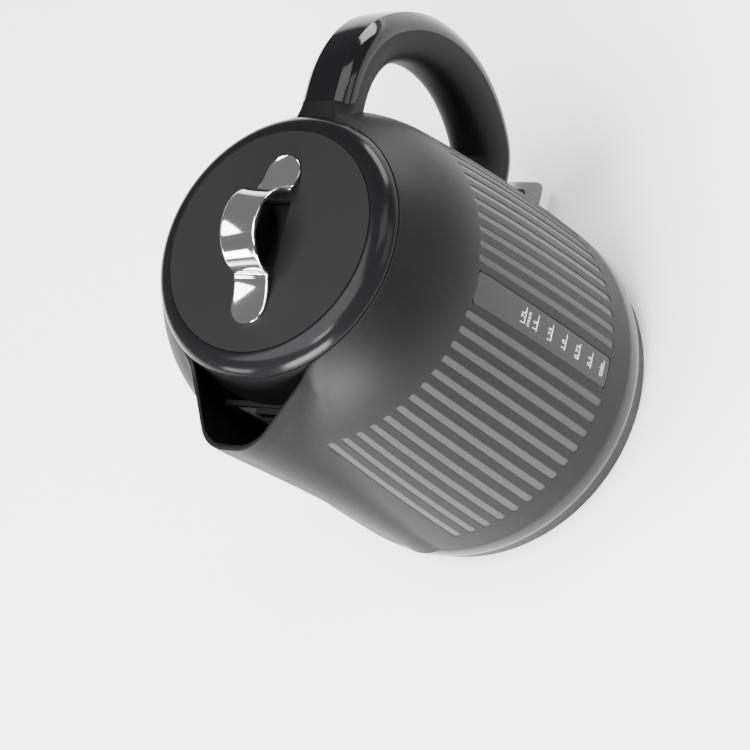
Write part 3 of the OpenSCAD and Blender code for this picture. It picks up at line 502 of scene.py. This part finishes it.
def cover_half(inset=0.0):
    """(across, depth) from the seam over the crease to the middle: a curved cheek, then the crown."""
    cheek = bezier((HANDLE_HALF - inset, COVER_D), (HANDLE_HALF - inset, 4.3 + inset), (CREASE, 0.42 + inset),
                   np.linspace(0, 1, 12))
    across = np.linspace(CREASE, 0, 6)[1:]
    crown = np.stack([across, 0.42 * (across / CREASE) ** 2 + inset], -1)
    return np.concatenate([cheek, crown])


def both_sides(half):
    """The half and its mirror image, as one line from side to side."""
    return np.concatenate([half, (half * [-1, 1])[-2::-1]])


def grip_half(turn, points=24):
    """Lower half of the section: a squarish oval from side to side at each stop of the line."""
    a = np.linspace(0, math.pi, points)
    c, s = np.cos(a), np.sin(a)
    across = -HANDLE_HALF * np.sign(c) * np.abs(c) ** (2 / 2.6)
    drop = np.abs(s) ** (2 / 2.6)
    depth = COVER_D + 0.1 + (handle_depth(turn)[:, None] - COVER_D - 0.1) * drop
    return np.stack([across + 0 * depth, depth], -1)

# %% Cover of the handle
STRAIGHT_ROWS = 9


def seam_x(depth):
    """Where the cover begins at a depth: a quarter circle of 5 mm, from its back down to the seam."""
    height = np.clip((COVER_D - depth) / 5.0, 0, 1)
    return COVER_X + 5 * (1 - np.sqrt(np.maximum(1 - (1 - height) ** 2, 0)))


turns = np.concatenate([np.zeros(STRAIGHT_ROWS), np.arange(0, 180.1, 2.5)])
cover_top = both_sides(cover_half())
cover_under = both_sides(cover_half(1.8))[::-1]
loop = np.concatenate([cover_top, cover_under])
step_x = seam_x(loop[:, 1])
cover = carry(np.broadcast_to(loop, (len(turns), len(loop), 2)).copy(), turns)
for k in range(STRAIGHT_ROWS):
    cover[k, :, 0] = step_x + (BEND_X - step_x) * (k / STRAIGHT_ROWS)
last = cover[-1:].copy()
last[..., 0] = ROOT_X
cover = np.concatenate([cover, last])
handle_cover = skin("handle_cover_skin", cover, close_rows=False, caps=True, sharp=20,
                    stands_for=("handle_cover",))
dress(handle_cover, gloss)

# %% [markdown]
# The grip starts inside the neck as a full section, so that neck and grip read as one moulding.
# Where the cover begins, its upper half drops to the seam. Towards the jug it flares out.

# %% Grip and neck of the handle
grip_loop = np.concatenate([grip_half(turns), np.broadcast_to(cover_top, (len(turns), len(cover_top), 2))], 1)
n_low = grip_half(turns).shape[1]
upper = np.arange(grip_loop.shape[1]) >= n_low
shut = grip_loop.copy()
shut[:, upper, 1] = COVER_D + 0.12
grip = carry(shut, turns)
SEAM_GAP = 0.18
seam_step = np.where(upper, seam_x(grip_loop[0, :, 1]) - SEAM_GAP, COVER_X)
for k in range(STRAIGHT_ROWS):
    grip[k, :, 0] = seam_step + (BEND_X - seam_step) * k / STRAIGHT_ROWS
neck_x = np.array([48.0, 54, 58, 60, 61.5, 63, 64.5, 66, 67.5, 69, 70.2])
flare = np.clip((COVER_X - 0.5 - neck_x) / 10, 0, 1.6)[:, None] ** 2.2 * 0.8
full = carry(grip_loop[:1], np.zeros(1))[0]
neck = np.repeat(full[None], len(neck_x), 0)
neck[..., 1] *= 1 + 0.62 * flare
low_z = np.minimum(neck[..., 2] - HANDLE_TOP, 0)
neck[..., 2] = HANDLE_TOP + low_z * (1 + 0.75 * flare) - 0.25 * flare
neck[..., 0] = neck_x[:, None] + 0 * neck[..., 0]
front = full[None].copy()
front[..., 0] = seam_step
tail = grip[-1:].copy()
tail[..., 0] = ROOT_X
grip = np.concatenate([neck, front, grip, tail])
handle_grip = skin("handle_grip_skin", grip, close_rows=False, caps=True, sharp=40,
                   stands_for=("handle_grip",))
dress(handle_grip, matte)

# %% Foot of the handle
end = carry(grip_loop[-1:], turns[-1:])[0]
foot_x = ROOT_X - np.array([0.0, 1.5, 3.0, 4.5, 6.0, 7.4, 8.8])
spread = np.clip((ROOT_X - foot_x) / 8, 0, 2)[:, None] ** 2
middle = 0.5 * (end[:, 2].min() + end[:, 2].max())
foot_rows = np.repeat(end[None], len(foot_x), 0)
foot_rows[..., 0] = foot_x[:, None]
foot_rows[..., 1] *= 1 + 0.30 * spread
foot_rows[..., 2] = middle + (foot_rows[..., 2] - middle) * (1 + 0.16 * spread)
foot_rows[..., 2] = np.maximum(foot_rows[..., 2], SEAM_Z + 3.0)
handle_foot = skin("handle_foot", foot_rows, close_rows=False, caps=True,
                   stands_for=("jug_body",))
dress(handle_foot, matte)

# %% [markdown]
# ## The base ring
# A glossy band closes the jug at the bottom. Its section is a rounded strip. At the back the strip
# is cut higher, which leaves the way out for the switch.

# %% Base ring
NOTCH_HALF, NOTCH_TOP = 17.5, 22.4
RING_COLS = 300
notch = math.asin(NOTCH_HALF / JUG_R)
ring_angle = np.concatenate([np.linspace(notch + 0.001, 2 * math.pi - notch - 0.001, RING_COLS),
                             np.linspace(-notch, notch, 24)])
low = np.where(np.arange(len(ring_angle)) < RING_COLS, ring_low[2], NOTCH_TOP)
high = ring_high[2]
share = np.array([1.0, 1.0, 0.92, 0.72, 0.5, 0.28, 0.1, 0.02, 0.0, 0.0])
reach = np.array([-2.35, -0.85, -0.3, -0.02, 0.0, -0.05, -0.3, -0.62, -1.1, -2.35])
ring_r = JUG_R + reach[:, None] + 0 * ring_angle
ring_z = low + (high - low) * share[:, None]
ring_grid = np.stack([ring_r * np.cos(ring_angle), ring_r * np.sin(ring_angle), ring_z], -1)
base_ring = skin("base_ring_skin", ring_grid, sharp=40, stands_for=("base_ring",))
dress(base_ring, gloss)

# %% [markdown]
# ## The lid
# A glossy ring with a convex bevel frames a matte disc. The ring is turned; the disc stays the
# CAD part, whose recess and edges are right, with its own finish.

# %% Lid ring
LID_R, LID_TOP = lid_high[0], lid_high[2]
LID_Z = NECK_Z + 0.3
DISC_R = span("lid_disc")[1][0]
bevel = bezier((LID_R, LID_Z + 0.6), (LID_R - 2.4, LID_TOP - 0.6), (LID_R - 9.4, LID_TOP),
               np.linspace(0, 1, 22))
ring_foot = [(LID_R - 3.2, LID_Z), (LID_R - 0.35, LID_Z), (LID_R - 0.08, LID_Z + 0.2)]
ring_inside = [(DISC_R + 0.3, LID_TOP - 0.05), (DISC_R + 0.2, LID_TOP - 0.3),
               (DISC_R + 0.2, LID_TOP - 3.7), (LID_R - 3.2, LID_TOP - 3.7)]
ring_profile = np.concatenate([ring_foot, bevel, ring_inside])
lid_ring = skin("lid_ring_skin", turned(ring_profile, 300), body="lid", sharp=35,
                stands_for=("lid_ring",))
dress(lid_ring, lid_gloss)

# %% [markdown]
# ## The lid's arch
# One strip of chrome: a round-ended tab, a tight valley, a round arch, and the same again. A
# section with raised edges is carried along that line, and its width closes in a half circle at
# each end.

# %% Arch
ARCH_T, ARCH_HALF, ARCH_SHIFT = 1.5, arch_high[1], 1.7
ARCH_R = 19.8
ARCH_Z = arch_high[2] - ARCH_R
TAB_END = arch_high[0]
DISC_TOP = arch_low[2] + 2 + 1.5
VALLEY_Z = DISC_TOP + 4.6


def arch_half(sign):
    """(x, z) of one half from the tab's end to the top: a tab that climbs as t^3.8 towards the valley,
    a tight curve through it, then the arch's circle."""
    centre = ARCH_SHIFT * sign
    start = math.asin((VALLEY_Z + 1.0 - ARCH_Z) / ARCH_R)
    arc = np.linspace(start, math.pi / 2, 46)
    circle = np.stack([centre + ARCH_R * np.cos(arc), ARCH_Z + ARCH_R * np.sin(arc)], -1)
    valley_x = circle[0, 0] + 1.5
    t = np.concatenate([1 - np.cos(np.linspace(0, math.pi / 2, 18)), [1.0]])[:-1]
    x_tip = TAB_END - ARCH_HALF * t
    x = np.concatenate([x_tip, np.linspace(TAB_END - ARCH_HALF, valley_x, 14)[1:]])
    climb = (TAB_END - x) / (TAB_END - valley_x)
    z = DISC_TOP + 1.45 + (VALLEY_Z - DISC_TOP - 1.45) * climb ** 3.8
    bend = bezier((x[-1], z[-1]), (circle[0, 0] + 0.25, VALLEY_Z + 0.1), circle[0],
                  np.linspace(0, 1, 9))[1:-1]
    return np.concatenate([np.stack([x, z], -1), bend, circle])


right_half, left_half = arch_half(1), arch_half(-1) * [-1, 1]
line = np.concatenate([right_half, left_half[-2::-1]])
way = np.gradient(line, axis=0)
way /= np.linalg.norm(way, axis=1)[:, None]
normal = np.stack([way[:, 1], -way[:, 0]], -1)
normal *= np.sign((normal * [0, 1]).sum(1) + 1e-9)[:, None]
from_end = TAB_END - np.abs(line[:, 0])
on_tab = line[:, 1] < DISC_TOP + 4.0
width = np.where((from_end < ARCH_HALF) & on_tab,
                 np.sqrt(np.maximum(ARCH_HALF ** 2 - (ARCH_HALF - from_end) ** 2, 0.0025)), ARCH_HALF)
u = np.concatenate([[-1, -0.995, -0.96, -0.9], np.linspace(-0.8, 0.8, 11), [0.9, 0.96, 0.995, 1]])
raised = 0.55 * u ** 2 - 0.55 - 0.30 * np.clip((np.abs(u) - 0.94) / 0.06, 0, 1) ** 2
top_side = np.stack([u, raised], -1)
under_side = np.stack([u[::-1], np.full(len(u), -ARCH_T) + 0.1 * u ** 2], -1)
section = np.concatenate([top_side, under_side])
keep = (width / ARCH_HALF)[:, None]
offset = np.where(section[None, :, 1] > -1.2, section[None, :, 1] * (0.4 + 0.6 * keep), section[None, :, 1])
offset = np.minimum(offset, 0)
arch_grid = np.stack([line[:, :1] + normal[:, :1] * offset, width[:, None] * section[None, :, 0],
                      line[:, 1:] + normal[:, 1:] * offset], -1)
lid_arch = skin("lid_arch_strip", arch_grid, close_rows=False, caps=True, body="lid", sharp=38,
                stands_for=("lid_arch",))
dress(lid_arch, chrome)

# %% [markdown]
# ## The water window
# A smoked pane sits in the pocket of the wall, just under its surface, with softly rounded corners.
# Its marks are printed: short lines with figures above them, bent round the pane.

# %% Pane
PANE_HALF = WINDOW_HALF_W - 0.05
PANE_LOW, PANE_HIGH, CORNER, PANE_T = 41.7, 150.7, 2.0, 1.2
pane_z = np.concatenate([PANE_LOW + CORNER * (1 - np.cos(np.linspace(0, math.pi / 2, 9))),
                         np.linspace(PANE_LOW + CORNER, PANE_HIGH - CORNER, 40)[1:-1],
                         PANE_HIGH - CORNER * (1 - np.cos(np.linspace(math.pi / 2, 0, 9)))])
drop = np.maximum(np.maximum(PANE_LOW + CORNER - pane_z, pane_z - PANE_HIGH + CORNER), 0)
half_w = PANE_HALF - CORNER + np.sqrt(np.maximum(CORNER ** 2 - drop ** 2, 0.001))
side = np.concatenate([[-1, -0.985, -0.95], np.linspace(-0.85, 0.85, 9), [0.95, 0.985, 1]])
sink = 0.15 + 0.12 * np.clip((np.abs(side) - 0.95) / 0.05, 0, 1)


def on_wall(x, z, depth):
    """A point x along the wall from the window's middle, at height z, depth under the surface."""
    r = wall_outline(z)
    a = math.radians(WINDOW_AT) + x / r
    return np.stack([(r - depth) * np.cos(a), (r - depth) * np.sin(a), z + 0 * x], -1)


front_x = half_w[:, None] * side
front_z = np.repeat(pane_z[:, None], len(side), 1)
pane_front = on_wall(front_x, front_z, sink)
pane_back = on_wall(front_x[:, ::-1], front_z, PANE_T)
pane = skin("water_window_pane", np.concatenate([pane_front, pane_back], 1), close_rows=False, caps=True,
            sharp=30, stands_for=("water_window",))
smoked = finish("smoked_window", (0.008, 0.0081, 0.0085), (0.011, 0.0111, 0.0116), 0.22, bump=0.0,
                rough_end=0.28, specular=0.12)
dress(pane, smoked)

# %% Printed marks
white = finish("printed_white", (0.78, 0.78, 0.78), (0.86, 0.86, 0.86), 0.45, bump=0.05)
MARKS = [("1.7L", 113.6), ("1.5", 104.0), ("1.25", 92.0), ("1.0", 80.1), ("0.75", 68.2), ("0.5", 56.9),
         ("min", 46.2), ("max", 109.9)]
PRINT_DEPTH, PRINT_X, THINNER = 0.10, -2.9, -0.06
LINE_END, LINE_H, LINE_BACK = 4.6, 0.28, 0.14


def printed(name, text, size, x, z):
    """Flat lettering made a mesh, then bent onto the wall: x runs along the wall, y becomes height."""
    curve = bpy.data.curves.new(name, "FONT")
    curve.body, curve.size, curve.align_x = text, size, "LEFT"
    curve.offset = THINNER
    holder = bpy.data.objects.new(name, curve)
    SCENE.collection.objects.link(holder)
    bpy.context.view_layer.update()
    flat = bpy.data.meshes.new_from_object(holder.evaluated_get(bpy.context.evaluated_depsgraph_get()))
    bpy.data.objects.remove(holder)
    co = np.zeros(len(flat.vertices) * 3)
    flat.vertices.foreach_get("co", co)
    co = co.reshape(-1, 3)
    co[:, 0] -= co[:, 0].min()
    bent = on_wall(x + co[:, 0], z + co[:, 1], PRINT_DEPTH) * MM
    flat.vertices.foreach_set("co", bent.ravel())
    piece = bpy.data.objects.new(name, flat)
    SCENE.collection.objects.link(piece)
    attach(piece, "jug")
    dress(piece, white)


for text, height_z in MARKS:
    label = text.replace(".", "_")
    lift = 0.55 if text != "max" else -0.05
    size = 3.9 if text not in ("min", "max") else 4.1
    inset = 0.6 if text in ("1.5", "0.5", "1.0") else 0.0
    printed("mark_" + label, text, size, PRINT_X + inset, height_z + lift)
    if text != "max":
        along = np.linspace(PRINT_X, LINE_END, 9)
        line_x = np.tile(along, (2, 1))
        line_z = (height_z - 0.14 + np.array([0.0, LINE_H]))[:, None] + 0 * along
        top = on_wall(line_x, line_z, PRINT_DEPTH)
        bottom = on_wall(line_x, line_z[::-1], LINE_BACK)
        line_piece = skin("line_" + label, np.concatenate([top, bottom]), close_rows=True,
                          close_cols=False)
        dress(line_piece, white)

# %% [markdown]
# ## The filter's screen
# A fine woven screen stands behind the spout. Its threads are far thinner than the holes that a
# solid model can carry, so the panel is one thin sheet, a little bowed, with its weave in the finish:
# two crossed sets of waves darken the gaps between the threads. They change the colour only.

# %% Screen panel
BOW, PULL_IN = 0.12, 0.13
screen_low, screen_high = span("filter_mesh")
screen_y = np.linspace(screen_low[1], screen_high[1], 25)
screen_z = np.linspace(screen_low[2], screen_high[2], 29)
SY, SZ = np.meshgrid(screen_y, screen_z, indexing="ij")


def bowed(y, z):
    """How far the sheet bows: BOW times the product of two cosines that vanish at its edges."""
    across = y / screen_high[1] * math.pi / 2
    up = (2 * (z - screen_low[2]) / (screen_high[2] - screen_low[2]) - 1) * math.pi / 2
    return BOW * np.cos(across) * np.cos(up)


front = np.stack([screen_low[0] + PULL_IN - bowed(SY, SZ), SY, SZ], -1)
back = np.stack([screen_high[0] - PULL_IN - bowed(SY, SZ), SY, SZ], -1)
sheet = np.concatenate([front, back[:, ::-1]], 1)
filter_screen = skin("filter_screen", sheet, close_rows=False, caps=True, body="filter",
                     stands_for=("filter_mesh",))
woven = finish("woven_screen", (0.16, 0.16, 0.165), (0.20, 0.20, 0.205), 0.45, bump=0.05, metallic=0.2)
tree = woven.node_tree
shader = tree.nodes["Principled BSDF"]
place = tree.nodes.new("ShaderNodeTexCoord")
darker = tree.nodes.new("ShaderNodeMix")
darker.data_type = "RGBA"
darker.inputs["A"].default_value = (0.03, 0.03, 0.03, 1)
stronger = tree.nodes.new("ShaderNodeMath")
stronger.operation = "MAXIMUM"
for k, direction in enumerate(("Y", "Z")):
    thread = tree.nodes.new("ShaderNodeTexWave")
    thread.bands_direction = direction
    thread.inputs["Scale"].default_value = 420.0
    tree.links.new(place.outputs["Object"], thread.inputs["Vector"])
    tree.links.new(thread.outputs["Fac"], stronger.inputs[k])
tree.links.new(stronger.outputs["Value"], darker.inputs["Factor"])
tree.links.new(shader.inputs["Base Color"].links[0].from_socket, darker.inputs["B"])
tree.links.new(darker.outputs["Result"], shader.inputs["Base Color"])
dress(filter_screen, woven)

# %% Finishes of the CAD nodes
FINISHES = {
    "matte_black": matte, "gloss_black": gloss, "lid_black": lid_matte, "smoked_window": smoked,
    "chrome_metal": chrome, "satin_steel": satin, "steel": steel, "aluminium": aluminium,
    "brass_contact": brass, "silicone": silicone, "inner_plastic": inner, "lens_grey": lens_grey,
    "mesh_steel": screen, "wire_brown": brown, "wire_blue": blue, "wire_green": green,
}
for part_row in frame["record"]["subparts"]:
    dress(frame["nodes"][part_row["node"]], FINISHES[part_row["material_slot"]])

# %% [markdown]
# ## Studio
# A pale floor, an even pale surround and seven soft lamps. The one overhead and the one beside the
# spout carry most of the light; the other five are weaker.

# %% Floor and lamps
floor_mesh = bpy.data.meshes.new("studio_floor")
FLOOR_HALF, FLOOR_Z = 4.0, -0.0002
corners = [(x * FLOOR_HALF, y * FLOOR_HALF, FLOOR_Z) for x, y in ((-1, -1), (1, -1), (1, 1), (-1, 1))]
floor_mesh.from_pydata(corners, [], [(0, 1, 2, 3)])
floor = bpy.data.objects.new("studio_floor", floor_mesh)
SCENE.collection.objects.link(floor)
dress(floor, finish("studio_floor", (0.90, 0.90, 0.90), (0.92, 0.92, 0.92), 0.75, grain=60, bump=0.0,
                    specular=0.2))

world = bpy.data.worlds.new("studio")
SCENE.world = world
world.use_nodes = True
world.node_tree.nodes["Background"].inputs["Color"].default_value = (1, 1, 1, 1)
world.node_tree.nodes["Background"].inputs["Strength"].default_value = 0.27


def lamp(name, at, aim, size, power):
    """A rectangular soft lamp at a point, turned to face another."""
    light = bpy.data.lights.new(name, "AREA")
    light.shape, light.size, light.size_y, light.energy = "RECTANGLE", size[0], size[1], power
    holder = bpy.data.objects.new(name, light)
    back = (np.array(at) - np.array(aim)) / np.linalg.norm(np.array(at) - np.array(aim))
    right = np.cross((0, 0, 1), back)
    right /= np.linalg.norm(right)
    axes = np.stack([right, np.cross(back, right), back], 1)
    holder.matrix_world = Matrix.Translation(at) @ Matrix(axes.tolist()).to_4x4()
    SCENE.collection.objects.link(holder)
    return holder


lamp("key_over_handle", (0.68, -0.84, 1.14), (0, 0, 0.15), (0.5, 0.8), 9)
lamp("low_front", (0.45, -1.35, 0.5), (0, 0, 0.12), (0.7, 0.5), 5)
lamp("spout_side", (-1.4, -0.35, 0.35), (0, 0, 0.1), (0.9, 0.5), 120)
lamp("rear_low", (1.5, -0.35, 0.4), (0, 0, 0.1), (0.8, 0.5), 34)
lamp("back_left", (-1.2, 0.9, 0.5), (0, 0, 0.2), (0.5, 0.4), 16)
lamp("over_spout", (-0.8, -0.35, 1.2), (-0.07, 0, 0.16), (0.3, 0.3), 16)
lamp("overhead", (-0.5, 0.35, 2.7), (0.1, 0, 0), (2.6, 2.2), 250)
print("lamps:", len(bpy.data.lights))
